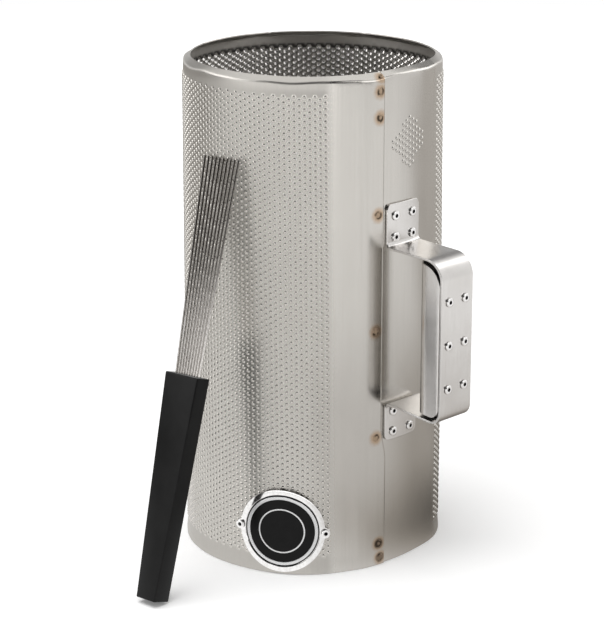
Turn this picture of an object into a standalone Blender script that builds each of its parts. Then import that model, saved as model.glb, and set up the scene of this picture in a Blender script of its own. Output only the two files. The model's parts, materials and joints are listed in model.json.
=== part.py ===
"""Guira: a rolled sheet-metal drum with a riveted strap handle, and the wire fork that scrapes it.

Metres, +Z up. The barrel stands on its open lower edge with the handle towards +X, and the
scraper leans on the barrel's -Y side. Angles are in degrees, counted from the handle.
"""

import math

import bmesh
import bpy
import numpy as np
from mathutils import Matrix, Vector

# Room left between pieces that touch
SEAT_GAP = 0.0003

# Barrel: one sheet, rolled, lapped beside the handle and turned in at the top
BARREL_DIAMETER = 0.178
BARREL_HEIGHT = 0.342
SHEET = 0.0008
LIP_IN = 0.0048
LIP_UP = 0.0031
PANEL_INSET = 0.0073
PANEL_HALF_ANGLE = 55.5
SEAM_ANGLE = -12.4
LAP_WIDTH = 0.012
JOGGLE_LENGTH = 0.015

# Embossed field: staggered points pressed out of the sheet, fewer and wider than the real domes
DOME_HEIGHT = 0.00075
DOME_WIDTH = 0.0050
DOME_PITCH = 0.0140
DOME_SIDES = 4
FIELD_START_ANGLE = 31.5
FIELD_END_ANGLE = -39.8
FIELD_EASE_ANGLE = 20.0
FIELD_ABOVE_BASE = 0.015
FIELD_BELOW_TOP = 0.011

# Handle strap: two feet on the barrel, two arms and the grip
HANDLE_WIDTH = 0.031
STRAP = 0.0016
HANDLE_REACH = 0.0494
HANDLE_SPAN = 0.1100
HANDLE_BELOW_MIDDLE = 0.0009
UPPER_ARM_DROP = 0.0020
LOWER_ARM_DROP = 0.0046
UPPER_FOOT_HEIGHT = 0.0285
LOWER_FOOT_HEIGHT = 0.026
FOOT_CORNER = 0.0038
FOLD_RADIUS = 0.003
UPPER_BEND_RADIUS = 0.0145
LOWER_BEND_RADIUS = 0.0085
FOOT_RIVETS_FROM_FOLD = 0.013
FOOT_RIVET_COLUMNS = 0.0165
FOOT_RIVET_ROWS = 0.0145
STRAP_COLUMNS = 4
BEND_STEPS = 6

# Grip liner: a channel behind the strap, with two lips riveted to it
LINER_SHEET = 0.0008
LINER_DEPTH = 0.0225
LINER_BACK_DEPTH = 0.011
LINER_EDGE_RADIUS = 0.0009
LINER_SLOT = 0.007
LINER_END_GAP = 0.0028
LINER_UPPER_CORNER = 0.0115
LINER_LOWER_CORNER = 0.007
GRIP_RIVET_COLUMNS = 0.016
GRIP_RIVET_ROWS = 0.030
GRIP_RIVETS_BELOW_MIDDLE = 0.0047

# Blind rivets: a hollow body and the stub of its drawn stem
RIVET_SHANK = 0.0032
RIVET_HEAD = 0.0064
RIVET_HEAD_HEIGHT = 0.0011
RIVET_BORE = 0.0021
RIVET_TAIL = 0.0046
RIVET_TAIL_LENGTH = 0.003
HOLE_CLEARANCE = 0.0002
STEM_CLEARANCE = 0.0002
STEM_RECESS = 0.0005
STEM_HEAD_LENGTH = 0.0012
RIVET_SEGMENTS = 10

# Badge: a pan curved to the barrel, with an ear at either side and an enamel disc in it
BADGE_DIAMETER = 0.0590
BADGE_THICKNESS = 0.0013
BADGE_FLOOR = 0.0005
BADGE_RIM = 0.0037
BADGE_ANGLE = -59.5
BADGE_CLEAR_OF_BASE = 0.0018
BADGE_TILT = -2.0
BADGE_EAR_RADIUS = 0.0036
BADGE_SEGMENTS = 36
BADGE_RADIAL_STEP = 0.006

# Scraper: a tapered plastic handle with a row of spring wires
SCRAPER_ANGLE = -87.9
SCRAPER_TURN = -2.1
SCRAPER_LEAN = 16.0
SCRAPER_SIDE_LEAN = -3.0
SCRAPER_HANDLE_LENGTH = 0.1504
SCRAPER_MOUTH_WIDTH = 0.0311
SCRAPER_MOUTH_THICKNESS = 0.0113
SCRAPER_BUTT_WIDTH = 0.0175
SCRAPER_BUTT_THICKNESS = 0.0135
SCRAPER_EDGE = 0.0009
TINE_COUNT = 10
TINE_DIAMETER = 0.0017
TINE_FREE_LENGTH = 0.1444
TINE_MOUTH_SPREAD = 0.0213
TINE_TIP_SPREAD = 0.0314
TINE_CLEARANCE = 0.00055
TINE_SLOT_DEPTH = 0.010
TINE_TO_BARREL = 0.0001
TINE_SIDES = 8

BARREL_RADIUS = BARREL_DIAMETER / 2
PANEL_RADIUS = BARREL_RADIUS - PANEL_INSET
HANDLE_MIDDLE = BARREL_HEIGHT / 2 - HANDLE_BELOW_MIDDLE
UPPER_ARM = HANDLE_MIDDLE + HANDLE_SPAN / 2
LOWER_ARM = HANDLE_MIDDLE - HANDLE_SPAN / 2
FOOT_FACE = SEAT_GAP + STRAP
GRIP_INSIDE = HANDLE_REACH - STRAP - SEAT_GAP
BADGE_RADIUS = BADGE_DIAMETER / 2
BADGE_HEIGHT = BADGE_CLEAR_OF_BASE + BADGE_RADIUS

STEEL = ("stainless_sheet", (0.62, 0.60, 0.57), 0.28, 1.0)
RIVET_METAL = ("rivet_metal", (0.80, 0.79, 0.77), 0.22, 1.0)
STEM_METAL = ("stem_steel", (0.10, 0.10, 0.10), 0.50, 1.0)
CHROME = ("badge_chrome", (0.85, 0.85, 0.85), 0.08, 1.0)
ENAMEL = ("black_enamel", (0.012, 0.012, 0.013), 0.12, 0.0)
PLASTIC = ("black_plastic", (0.018, 0.018, 0.018), 0.30, 0.0)
WIRE = ("spring_wire", (0.58, 0.56, 0.53), 0.25, 1.0)


def clear_scene():
    for obj in list(bpy.data.objects):
        bpy.data.objects.remove(obj, do_unlink=True)


def finish_material(finish):
    name, colour, roughness, metallic = finish
    material = bpy.data.materials.get(name)
    if material is None:
        material = bpy.data.materials.new(name)
        material.use_nodes = True
        shader = material.node_tree.nodes["Principled BSDF"]
        shader.inputs["Base Color"].default_value = (*colour, 1.0)
        shader.inputs["Roughness"].default_value = roughness
        shader.inputs["Metallic"].default_value = metallic
    return material


def add_object(name, mesh, finish, parent, place=None):
    """A named piece, with its finish, under its parent."""
    if not mesh.materials:
        mesh.materials.append(finish_material(finish))
    obj = bpy.data.objects.new(name, mesh)
    bpy.context.scene.collection.objects.link(obj)
    obj.parent = parent
    if place is not None:
        obj.matrix_local = place
    return obj


def add_empty(name, parent=None, place=None):
    empty = bpy.data.objects.new(name, None)
    bpy.context.scene.collection.objects.link(empty)
    empty.parent = parent
    if place is not None:
        empty.matrix_local = place
    return empty


def mesh_from(bm, name):
    mesh = bpy.data.meshes.new(name)
    bm.to_mesh(mesh)
    bm.free()
    mesh.shade_smooth()
    mesh.set_sharp_from_angle(angle=math.radians(32))
    return mesh


def smooth_share(value):
    """0 to 1 with level ends, for a value from 0 to 1."""
    value = min(max(value, 0.0), 1.0)
    return value * value * (3 - 2 * value)


def section_radius(angle):
    """The barrel's outer radius, drawn in to a flatter panel behind the handle."""
    turned_back = (angle + math.pi) % (2 * math.pi) - math.pi
    share = min(abs(turned_back) / math.radians(PANEL_HALF_ANGLE), 1.0)
    return BARREL_RADIUS - PANEL_INSET * math.cos(share * math.pi / 2) ** 2


def section_arcs():
    """Angles round the section, and the length along it from the handle to each."""
    angles = np.linspace(-math.pi, math.pi, 2881)
    radii = np.array([section_radius(angle) for angle in angles])
    steps = np.hypot(np.diff(radii * np.cos(angles)), np.diff(radii * np.sin(angles)))
    arcs = np.concatenate([[0.0], np.cumsum(steps)])
    return angles, arcs - np.interp(0.0, angles, arcs)


SECTION_ANGLES, SECTION_ARCS = section_arcs()
GIRTH = SECTION_ARCS[-1] - SECTION_ARCS[0]


def arc_at(angle_degrees):
    return float(np.interp(math.radians(angle_degrees), SECTION_ANGLES, SECTION_ARCS))


def barrel_normal(arc):
    """The outward normal at a length along the section from the handle."""
    ends = [barrel_point(arc + step, 0.0) for step in (-0.0005, 0.0005)]
    along = ends[1] - ends[0]
    return Vector((along.y, -along.x, 0.0)).normalized()


def barrel_point(arc, height):
    """A point on the barrel's plain outer face."""
    turn = (arc - SECTION_ARCS[0]) % GIRTH + SECTION_ARCS[0]
    angle = float(np.interp(turn, SECTION_ARCS, SECTION_ANGLES))
    radius = section_radius(angle)
    return Vector((radius * math.cos(angle), radius * math.sin(angle), height))


def over_barrel(arc, height, lift):
    return barrel_point(arc, height) + barrel_normal(arc) * lift


def sheet_mesh(columns, rows, place):
    """A grid whose corner (column, row) goes to place(column, row), facing out."""
    bm = bmesh.new()
    bmesh.ops.create_grid(bm, x_segments=columns, y_segments=rows, size=0.5)
    for vert in bm.verts:
        column = round((vert.co.x + 0.5) * columns)
        row = round((vert.co.y + 0.5) * rows)
        vert.co = place(column, row)
    return bm


def thicken(obj, thickness):
    """Gives a sheet its thickness, inwards from the face that was drawn."""
    wall = obj.modifiers.new("thickness", "SOLIDIFY")
    wall.thickness = thickness
    wall.offset = -1.0
    wall.use_even_offset = True
    wall.use_quality_normals = True


def drill(obj, cutter):
    holes = obj.modifiers.new("rivet_holes", "BOOLEAN")
    holes.operation = "DIFFERENCE"
    holes.solver = "EXACT"
    holes.object = cutter


def turned(profile, segments, closed):
    """A profile of (radius, height) points turned about Z, as a closed solid."""
    bm = bmesh.new()
    verts = [bm.verts.new((radius, 0.0, height)) for radius, height in profile]
    pairs = list(zip(verts, verts[1:]))
    if closed:
        pairs.append((verts[-1], verts[0]))
    edges = [bm.edges.new(pair) for pair in pairs]
    bmesh.ops.spin(
        bm,
        geom=verts + edges,
        cent=(0, 0, 0),
        axis=(0, 0, 1),
        angle=2 * math.pi,
        steps=segments,
        use_merge=True,
    )
    bmesh.ops.remove_doubles(bm, verts=bm.verts, dist=1e-7)
    bmesh.ops.recalc_face_normals(bm, faces=bm.faces)
    return bm


def rounded_path(corners, radii):
    """The corners of a bent strip, with an arc of the given radius at each inner one."""
    path = [Vector(corners[0])]
    for before, corner, after, radius in zip(corners, corners[1:], corners[2:], radii):
        corner = Vector(corner)
        back = (Vector(before) - corner).normalized()
        ahead = (Vector(after) - corner).normalized()
        half = back.angle(ahead) / 2
        centre = corner + (back + ahead).normalized() * radius / math.sin(half)
        start = corner + back * radius / math.tan(half) - centre
        turn = start.angle_signed(corner + ahead * radius / math.tan(half) - centre)
        for step in range(BEND_STEPS + 1):
            swing = Matrix.Rotation(-turn * step / BEND_STEPS, 2)
            path.append(centre + swing @ start)
    path.append(Vector(corners[-1]))
    return path


def field_share(arc):
    """How far the sheet lies below the domes' tops: 0 behind the handle, 1 in the field."""
    before = arc_at(FIELD_START_ANGLE) - arc
    after = arc - GIRTH - arc_at(FIELD_END_ANGLE)
    ease = BARREL_RADIUS * math.radians(FIELD_EASE_ANGLE)
    return smooth_share(1 - max(before, after) / ease)


def dome_places(start, strip, columns, rivets):
    """Staggered places over the field, each in the middle of a column, clear of the rivets."""
    places = []
    clear = (RIVET_HEAD + DOME_WIDTH) / 2
    top = BARREL_HEIGHT - FIELD_BELOW_TOP
    rows = math.floor((top - FIELD_ABOVE_BASE) / DOME_PITCH)
    for column in range(0, columns, 2):
        arc = start + strip * (column + 0.5) / columns
        if not arc_at(FIELD_START_ANGLE) < arc < GIRTH + arc_at(FIELD_END_ANGLE):
            continue
        first = FIELD_ABOVE_BASE + (DOME_PITCH / 2 if column % 4 else 0.0)
        for row in range(rows):
            top_point = over_barrel(arc, first + DOME_PITCH * row, 0.0)
            if all((top_point - place.translation).length > clear for place in rivets):
                places.append(facing(top_point, barrel_normal(arc)))
    return places


def make_domes(root, places):
    """The field's points as one tool, rooted in the sheet's wall."""
    root_depth = SHEET / 2
    height = DOME_HEIGHT + root_depth
    bm = bmesh.new()
    for place in places:
        bmesh.ops.create_cone(
            bm,
            cap_ends=True,
            segments=DOME_SIDES,
            radius1=DOME_WIDTH / 2 * height / DOME_HEIGHT,
            radius2=0.0,
            depth=height,
            matrix=place @ Matrix.Translation((0, 0, -height / 2)),
        )
    bmesh.ops.remove_doubles(bm, verts=bm.verts, dist=1e-7)
    domes = add_object("dome_points", mesh_from(bm, "dome_points"), STEEL, root)
    domes.hide_render = True
    domes.display_type = "WIRE"
    return domes


def make_barrel(root, cutter, rivets):
    start = arc_at(SEAM_ANGLE) - LAP_WIDTH
    strip = GIRTH + LAP_WIDTH
    columns = 2 * round(strip / (DOME_PITCH * math.sqrt(3) / 2))
    lip_turn = math.atan2(LIP_IN, LIP_UP)

    def place(column, row):
        along = strip * column / columns
        to_edge = strip - along
        lift = smooth_share(1 - (to_edge - LAP_WIDTH) / JOGGLE_LENGTH) * (SHEET + SEAT_GAP)
        lift -= DOME_HEIGHT * field_share(start + along)
        inset = (0.0, 0.0, LIP_IN)[row]
        height = (0.0, BARREL_HEIGHT - LIP_UP, BARREL_HEIGHT)[row]
        if row:
            height += lift * math.tan(lip_turn / 2)
        return over_barrel(start + along, height, lift - inset)

    bm = sheet_mesh(columns, 2, place)
    barrel = add_object("barrel", mesh_from(bm, "barrel"), STEEL, root)
    thicken(barrel, SHEET)
    press = barrel.modifiers.new("domes", "BOOLEAN")
    press.operation = "UNION"
    press.solver = "EXACT"
    press.object = make_domes(root, dome_places(start, strip, columns, rivets))
    drill(barrel, cutter)


def strap_path():
    """Distance from the barrel and height of the strap's outer face, from the lower foot up."""
    corners = [
        (FOOT_FACE, LOWER_ARM - LOWER_FOOT_HEIGHT),
        (FOOT_FACE, LOWER_ARM),
        (HANDLE_REACH, LOWER_ARM - LOWER_ARM_DROP),
        (HANDLE_REACH, UPPER_ARM - UPPER_ARM_DROP),
        (FOOT_FACE, UPPER_ARM),
        (FOOT_FACE, UPPER_ARM + UPPER_FOOT_HEIGHT),
    ]
    radii = (FOLD_RADIUS, LOWER_BEND_RADIUS, UPPER_BEND_RADIUS, FOLD_RADIUS)
    return rounded_path(corners, radii)


def make_strap(root, cutter):
    path = strap_path()
    hug_length = 2 * FOLD_RADIUS

    def place(column, row):
        across = HANDLE_WIDTH * (column / STRAP_COLUMNS - 0.5)
        reach, height = path[row]
        hug = min(max(1 - (reach - FOOT_FACE) / hug_length, 0.0), 1.0)
        straight = Vector((PANEL_RADIUS + reach, across, height))
        return straight.lerp(over_barrel(across, height, reach), hug)

    bm = sheet_mesh(STRAP_COLUMNS, len(path) - 1, place)
    corners = [vert for vert in bm.verts if len(vert.link_edges) == 2]
    bmesh.ops.bevel(
        bm, geom=corners, offset=FOOT_CORNER, affect="VERTICES", segments=3, profile=0.5
    )
    strap = add_object("handle_strap", mesh_from(bm, "handle_strap"), STEEL, root)
    thicken(strap, STRAP)
    drill(strap, cutter)


def liner_section():
    """(depth behind the strap, place across) round the channel, from lip to lip."""
    half = HANDLE_WIDTH / 2
    edge = LINER_EDGE_RADIUS
    back_start = LINER_DEPTH - LINER_BACK_DEPTH
    side = [(0.0, LINER_SLOT / 2)]
    for step in range(4):
        turn = math.pi / 2 * step / 3
        side.append((edge * (1 - math.cos(turn)), half - edge * (1 - math.sin(turn))))
    for share in (0.25, 0.5, 0.75):
        side.append((edge + (back_start - edge) * share, half))
    for step in range(7):
        turn = math.pi / 2 * step / 6
        side.append((back_start + LINER_BACK_DEPTH * math.sin(turn), half * math.cos(turn)))
    other = [(depth, -across) for depth, across in reversed(side[:-1])]
    return side + other


def make_liner(root, cutter):
    section = liner_section()

    def place(column, row):
        depth, across = section[column]
        reach = GRIP_INSIDE - depth
        along_arm = (reach - FOOT_FACE) / (HANDLE_REACH - FOOT_FACE)
        corner = LINER_UPPER_CORNER if row else LINER_LOWER_CORNER
        short = max(corner - depth, 0.0)
        cut = corner - math.sqrt(corner**2 - short**2)
        end = STRAP + LINER_END_GAP + cut
        if row:
            height = UPPER_ARM - UPPER_ARM_DROP * along_arm - end
        else:
            height = LOWER_ARM - LOWER_ARM_DROP * along_arm + end
        return Vector((PANEL_RADIUS + reach, across, height))

    bm = sheet_mesh(len(section) - 1, 1, place)
    liner = add_object("grip_liner", mesh_from(bm, "grip_liner"), STEEL, root)
    thicken(liner, LINER_SHEET)
    drill(liner, cutter)


def facing(location, outward):
    """A frame at the location, with its Z along the outward direction."""
    return Matrix.Translation(location) @ outward.to_track_quat("Z", "Y").to_matrix().to_4x4()


def foot_rivet_places():
    places = {}
    feet = {
        "upper": UPPER_ARM + FOOT_RIVETS_FROM_FOLD,
        "lower": LOWER_ARM - FOOT_RIVETS_FROM_FOLD,
    }
    for foot, middle in feet.items():
        for row, up in (("top", 0.5), ("bottom", -0.5)):
            for column, side in (("left", -0.5), ("right", 0.5)):
                across = FOOT_RIVET_COLUMNS * side
                height = middle + FOOT_RIVET_ROWS * up
                head = over_barrel(across, height, FOOT_FACE + SEAT_GAP)
                name = f"{foot}_foot_rivet_{row}_{column}"
                places[name] = facing(head, barrel_normal(across))
    return places


def grip_rivet_places():
    places = {}
    for row, up in (("top", 1), ("middle", 0), ("bottom", -1)):
        for column, side in (("left", -0.5), ("right", 0.5)):
            height = HANDLE_MIDDLE - GRIP_RIVETS_BELOW_MIDDLE + GRIP_RIVET_ROWS * up
            reach = PANEL_RADIUS + HANDLE_REACH + SEAT_GAP
            head = Vector((reach, GRIP_RIVET_COLUMNS * side, height))
            places[f"grip_rivet_{row}_{column}"] = facing(head, Vector((1, 0, 0)))
    return places


def on_badge(along, up, lift):
    """A point of the badge, curved to the barrel and turned by the badge's tilt."""
    tilt = math.radians(BADGE_TILT)
    arc = arc_at(BADGE_ANGLE) + along * math.cos(tilt) - up * math.sin(tilt)
    height = BADGE_HEIGHT + along * math.sin(tilt) + up * math.cos(tilt)
    return arc, height, SEAT_GAP + lift


def badge_rivet_places():
    places = {}
    for column, side in (("left", -1), ("right", 1)):
        arc, height, lift = on_badge(BADGE_RADIUS * side, 0.0, BADGE_THICKNESS + SEAT_GAP)
        place = facing(over_barrel(arc, height, lift), barrel_normal(arc))
        places[f"badge_rivet_{column}"] = place
    return places


def make_hole_cutter(root, places):
    """One drill through every rivet's place, as separate rods."""
    bm = bmesh.new()
    length = 4 * RIVET_HEAD
    for place in places:
        bmesh.ops.create_cone(
            bm,
            cap_ends=True,
            segments=RIVET_SEGMENTS,
            radius1=RIVET_SHANK / 2 + HOLE_CLEARANCE,
            radius2=RIVET_SHANK / 2 + HOLE_CLEARANCE,
            depth=length,
            matrix=place,
        )
    cutter = add_object("rivet_hole_cutter", mesh_from(bm, "rivet_hole_cutter"), STEEL, root)
    cutter.hide_render = True
    cutter.display_type = "WIRE"
    return cutter


def rivet_mesh(name, grip):
    """A set blind rivet: domed head, shank through the grip, and the swelled tail."""
    bore = RIVET_BORE / 2
    head = RIVET_HEAD / 2
    tail = RIVET_TAIL / 2
    shank = RIVET_SHANK / 2
    crown = RIVET_HEAD_HEIGHT
    end = -grip - RIVET_TAIL_LENGTH
    profile = [
        (bore, crown),
        (bore + 0.45 * (head - bore), 0.9 * crown),
        (bore + 0.85 * (head - bore), 0.5 * crown),
        (head, 0.12 * crown),
        (head, 0.0),
        (shank, 0.0),
        (shank, -grip),
        (tail, -grip - 0.15 * RIVET_TAIL_LENGTH),
        (tail, -grip - 0.75 * RIVET_TAIL_LENGTH),
        (0.5 * (tail + bore), end),
        (bore, end),
    ]
    return mesh_from(turned(profile, RIVET_SEGMENTS, True), name)


def stem_mesh(name, grip):
    """The stem's stub, broken off below the head, with its ball behind the tail."""
    stem = RIVET_BORE / 2 - STEM_CLEARANCE
    ball = RIVET_TAIL / 2
    seat = -grip - RIVET_TAIL_LENGTH - SEAT_GAP
    top = RIVET_HEAD_HEIGHT - STEM_RECESS
    end = seat - STEM_HEAD_LENGTH
    profile = [(0.0, top), (stem, top), (stem, seat), (ball, seat), (0.6 * ball, end), (0.0, end)]
    return mesh_from(turned(profile, RIVET_SEGMENTS, False), name)


def make_rivets(root, places, grip):
    """A body and a stem at each place, through pieces that are grip thick together."""
    body = rivet_mesh("blind_rivet", grip)
    stem = stem_mesh("blind_rivet_stem", grip)
    for name, place in places.items():
        add_object(name, body, RIVET_METAL, root, place)
        add_object(f"{name}_stem", stem, STEM_METAL, root, place)


def flat_run(start, end, height):
    """Profile points along a flat, close enough together to follow the barrel's curve."""
    steps = max(math.ceil(abs(end - start) / BADGE_RADIAL_STEP), 1)
    return [(start + (end - start) * step / steps, height) for step in range(steps + 1)]


def ear_radius(turn):
    """The badge's outline: its round, or an ear's round where that reaches further."""
    off = BADGE_RADIUS * abs(math.sin(turn))
    if off >= BADGE_EAR_RADIUS:
        return BADGE_RADIUS
    reach = BADGE_RADIUS * abs(math.cos(turn)) + math.sqrt(BADGE_EAR_RADIUS**2 - off**2)
    return max(reach, BADGE_RADIUS)


def curve_to_barrel(bm):
    for vert in bm.verts:
        arc, height, lift = on_badge(*vert.co)
        vert.co = over_barrel(arc, height, lift)


def make_badge(root, cutter):
    recess = BADGE_RADIUS - BADGE_RIM
    profile = flat_run(0.0, BADGE_RADIUS, 0.0)
    profile += flat_run(BADGE_RADIUS, recess, BADGE_THICKNESS)
    profile += flat_run(recess, 0.0, BADGE_FLOOR)
    bm = turned(profile, BADGE_SEGMENTS, False)
    ear_half = math.asin(BADGE_EAR_RADIUS / BADGE_RADIUS)
    for share in (-0.98, -0.85, -0.6, -0.3, 0.3, 0.6, 0.85, 0.98):
        turn = ear_half * share
        bmesh.ops.bisect_plane(
            bm,
            geom=bm.verts[:] + bm.edges[:] + bm.faces[:],
            dist=1e-6,
            plane_co=(0, 0, 0),
            plane_no=(-math.sin(turn), math.cos(turn), 0),
        )
    rim_chord = BADGE_RADIUS * math.cos(math.pi / BADGE_SEGMENTS)
    for vert in bm.verts:
        radius = vert.co.xy.length
        if radius > rim_chord - 1e-6:
            vert.co.xy *= ear_radius(math.atan2(vert.co.y, vert.co.x)) / radius
    curve_to_barrel(bm)
    plate = add_object("badge_plate", mesh_from(bm, "badge_plate"), CHROME, root)
    drill(plate, cutter)

    inlay = recess - SEAT_GAP
    profile = flat_run(0.0, inlay, BADGE_FLOOR + SEAT_GAP)
    profile += flat_run(inlay, 0.0, BADGE_THICKNESS)
    bm = turned(profile, BADGE_SEGMENTS, False)
    curve_to_barrel(bm)
    add_object("badge_enamel_disc", mesh_from(bm, "badge_enamel_disc"), ENAMEL, root)


def scraper_handle_mesh():
    """The tapered bar, upright with its butt on the origin: X across the row, Y through it."""
    bm = bmesh.new()
    bmesh.ops.create_cube(bm, size=1.0)
    for vert in bm.verts:
        at_mouth = vert.co.z > 0
        width = SCRAPER_MOUTH_WIDTH if at_mouth else SCRAPER_BUTT_WIDTH
        thickness = SCRAPER_MOUTH_THICKNESS if at_mouth else SCRAPER_BUTT_THICKNESS
        height = SCRAPER_HANDLE_LENGTH if at_mouth else 0.0
        vert.co = (vert.co.x * width, vert.co.y * thickness, height)
    bmesh.ops.bevel(
        bm, geom=bm.edges[:], offset=SCRAPER_EDGE, affect="EDGES", segments=2, profile=0.5
    )
    return mesh_from(bm, "scraper_handle")


def scraper_place(handle_mesh):
    """Stands the scraper's butt on the floor and leans its tips on the barrel."""
    swing = Matrix.Rotation(math.radians(SCRAPER_ANGLE + 90 + SCRAPER_TURN), 4, "Z")
    swing = swing @ Matrix.Rotation(math.radians(SCRAPER_SIDE_LEAN), 4, "Y")
    swing = swing @ Matrix.Rotation(math.radians(-SCRAPER_LEAN), 4, "X")
    tip = swing @ Vector((0, 0, SCRAPER_HANDLE_LENGTH + TINE_FREE_LENGTH))
    half_tine = TINE_DIAMETER / 2 * math.cos(math.radians(SCRAPER_LEAN))
    touch = over_barrel(arc_at(SCRAPER_ANGLE), 0.0, TINE_TO_BARREL + half_tine)
    lowest = min((swing @ vert.co).z for vert in handle_mesh.vertices)
    move = Vector((touch.x - tip.x, touch.y - tip.y, -lowest))
    return Matrix.Translation(move) @ swing


def tine_mesh(name, mouth, tip, pivot):
    """A round wire through its place at the mouth and at the tip, about the pivot's height."""
    lean = (tip - mouth) / TINE_FREE_LENGTH
    root_z = SCRAPER_HANDLE_LENGTH - TINE_SLOT_DEPTH + SEAT_GAP
    tip_z = SCRAPER_HANDLE_LENGTH + TINE_FREE_LENGTH
    start = Vector((mouth + lean * (root_z - SCRAPER_HANDLE_LENGTH), 0, root_z - pivot))
    end = Vector((tip, 0, tip_z - pivot))
    bm = bmesh.new()
    bmesh.ops.create_cone(
        bm,
        cap_ends=True,
        segments=TINE_SIDES,
        radius1=TINE_DIAMETER / 2,
        radius2=TINE_DIAMETER / 2,
        depth=(end - start).length,
        matrix=facing((start + end) / 2, end - start),
    )
    return mesh_from(bm, name)


def make_scraper(root):
    handle_mesh = scraper_handle_mesh()
    frame = add_empty("scraper_frame", root, scraper_place(handle_mesh))
    handle = add_object("scraper_handle", handle_mesh, PLASTIC, frame)

    bm = bmesh.new()
    bmesh.ops.create_cube(bm, size=1.0)
    slot_width = TINE_MOUTH_SPREAD + TINE_DIAMETER + 2 * TINE_CLEARANCE
    slot_size = (slot_width, TINE_DIAMETER + 2 * TINE_CLEARANCE, 2 * TINE_SLOT_DEPTH)
    bmesh.ops.scale(bm, vec=slot_size, verts=bm.verts)
    bmesh.ops.translate(bm, vec=(0, 0, SCRAPER_HANDLE_LENGTH), verts=bm.verts)
    cutter = add_object("tine_slot_cutter", mesh_from(bm, "tine_slot_cutter"), PLASTIC, frame)
    cutter.hide_render = True
    cutter.display_type = "WIRE"
    slot = handle.modifiers.new("tine_slot", "BOOLEAN")
    slot.operation = "DIFFERENCE"
    slot.solver = "EXACT"
    slot.object = cutter

    pivot_height = SCRAPER_HANDLE_LENGTH - TINE_SLOT_DEPTH / 2
    pivot = add_empty("tine_pivot", frame, Matrix.Translation((0, 0, pivot_height)))
    for number in range(TINE_COUNT):
        share = number / (TINE_COUNT - 1) - 0.5
        name = f"tine_{number + 1:02d}"
        mesh = tine_mesh(name, TINE_MOUTH_SPREAD * share, TINE_TIP_SPREAD * share, pivot_height)
        add_object(name, mesh, WIRE, pivot)


def stand_on_origin(root):
    """Moves the whole part so that the middle of its footprint's box is the origin."""
    bpy.context.view_layer.update()
    graph = bpy.context.evaluated_depsgraph_get()
    corners = []
    for obj in bpy.data.objects:
        if obj.type == "MESH" and not obj.hide_render:
            mesh = obj.evaluated_get(graph).to_mesh()
            corners += [obj.matrix_world @ vert.co for vert in mesh.vertices]
            obj.evaluated_get(graph).to_mesh_clear()
    points = np.array(corners)
    low = points.min(axis=0)
    high = points.max(axis=0)
    root.location = (-(low[0] + high[0]) / 2, -(low[1] + high[1]) / 2, -low[2])
    bpy.context.view_layer.update()


def main():
    clear_scene()
    root = add_empty("guira")
    foot_rivets = foot_rivet_places()
    grip_rivets = grip_rivet_places()
    badge_rivets = badge_rivet_places()
    every_place = [*foot_rivets.values(), *grip_rivets.values(), *badge_rivets.values()]
    cutter = make_hole_cutter(root, every_place)
    make_barrel(root, cutter, every_place)
    make_strap(root, cutter)
    make_liner(root, cutter)
    make_badge(root, cutter)
    make_rivets(root, foot_rivets, STRAP + SHEET + 3 * SEAT_GAP)
    make_rivets(root, grip_rivets, STRAP + LINER_SHEET + 3 * SEAT_GAP)
    make_rivets(root, badge_rivets, BADGE_THICKNESS + DOME_HEIGHT + SHEET + 3 * SEAT_GAP)
    make_scraper(root)
    stand_on_origin(root)


main()
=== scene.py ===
"""Looks of the guira: embossed sheet barrel, strap handle, badge and wire scraper.

Everything is in metres in the solids' own frame. Angles are in degrees, counted from the handle.
"""

import json
import math

import bmesh
import bpy
import numpy as np
from mathutils import Matrix, Vector


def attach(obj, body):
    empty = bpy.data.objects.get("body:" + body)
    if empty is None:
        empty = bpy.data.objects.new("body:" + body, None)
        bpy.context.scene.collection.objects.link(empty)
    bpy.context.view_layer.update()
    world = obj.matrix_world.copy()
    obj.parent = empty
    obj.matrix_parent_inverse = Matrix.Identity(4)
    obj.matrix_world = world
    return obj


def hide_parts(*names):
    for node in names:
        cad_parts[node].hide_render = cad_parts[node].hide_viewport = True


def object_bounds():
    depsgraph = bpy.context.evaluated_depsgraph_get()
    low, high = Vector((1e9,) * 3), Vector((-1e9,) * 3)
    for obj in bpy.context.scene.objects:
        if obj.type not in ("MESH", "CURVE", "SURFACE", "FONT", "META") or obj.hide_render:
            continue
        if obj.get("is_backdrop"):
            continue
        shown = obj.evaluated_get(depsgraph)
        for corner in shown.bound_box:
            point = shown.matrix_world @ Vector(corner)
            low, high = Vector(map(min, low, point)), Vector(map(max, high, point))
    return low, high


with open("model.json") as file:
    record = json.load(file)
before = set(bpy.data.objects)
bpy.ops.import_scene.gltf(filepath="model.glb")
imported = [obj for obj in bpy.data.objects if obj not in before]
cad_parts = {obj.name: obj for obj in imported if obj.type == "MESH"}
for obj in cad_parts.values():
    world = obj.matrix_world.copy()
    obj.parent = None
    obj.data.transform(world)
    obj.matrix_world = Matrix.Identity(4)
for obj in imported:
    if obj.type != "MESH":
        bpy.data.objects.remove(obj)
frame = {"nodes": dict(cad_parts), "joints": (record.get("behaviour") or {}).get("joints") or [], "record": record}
CAD_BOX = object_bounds()

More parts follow.
